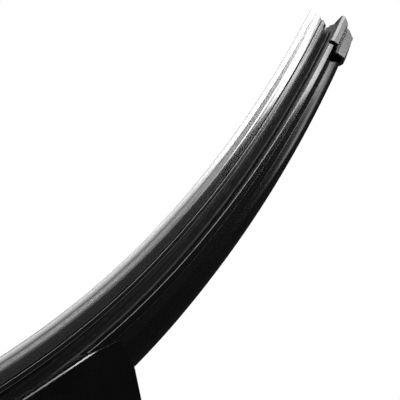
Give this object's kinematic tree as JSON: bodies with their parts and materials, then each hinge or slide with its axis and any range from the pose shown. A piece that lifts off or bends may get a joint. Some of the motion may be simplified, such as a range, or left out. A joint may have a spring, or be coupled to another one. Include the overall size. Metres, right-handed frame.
{
  "type": "wiper blade",
  "caption": "Curved flat-beam windscreen wiper blade with a rubber strip, spoilers, end caps and a pivoting arm adapter with a locking flap.",
  "frame": {"origin": "middle of the seat that the wiper arm's end lies on in the adapter, straight above the pivot", "axes": "+X along the blade, away from the adapter's open end; +Z away from the glass; +Y across the blade"},
  "size_m": [0.5948, 0.0188, 0.0828],
  "materials": {
    "rubber": "graphite-coated black rubber, satin",
    "spring_steel": "black-coated spring steel strip",
    "spoiler_plastic": "extruded black elastomer, satin",
    "cap_plastic": "moulded black plastic, fine grain",
    "bracket_steel": "black-coated stamped steel",
    "rivet_steel": "zinc-plated steel",
    "bush_plastic": "natural acetal",
    "cover_plastic": "moulded black plastic, semi-gloss",
    "adapter_plastic": "moulded black plastic, fine grain"
  },
  "bodies": {
    "adapter": {"arm_adapter": "adapter_plastic", "pivot_bush": "bush_plastic", "flap_pin": "rivet_steel"},
    "blade": {"connector_bracket": "bracket_steel", "pivot_rivet": "rivet_steel", "bracket_cover": "cover_plastic", "spring_rail_near": "spring_steel", "spring_rail_far": "spring_steel", "wiper_rubber": "rubber", "spoiler_outboard": "spoiler_plastic", "spoiler_inboard": "spoiler_plastic", "end_cap_outboard": "cap_plastic", "end_cap_inboard": "cap_plastic"},
    "flap": {"lock_flap": "adapter_plastic"}
  },
  "joints": [
    {"name": "blade_pivot", "type": "hinge", "parent": "adapter", "child": "blade", "pos_m": [0, 0, -0.0045], "axis": [0, 1, 0], "range_deg": [-10, 10]},
    {"name": "flap_hinge", "type": "hinge", "parent": "adapter", "child": "flap", "pos_m": [0.017, 0, 0.0034], "axis": [0, 1, 0], "range_deg": [0, 90]}
  ]
}
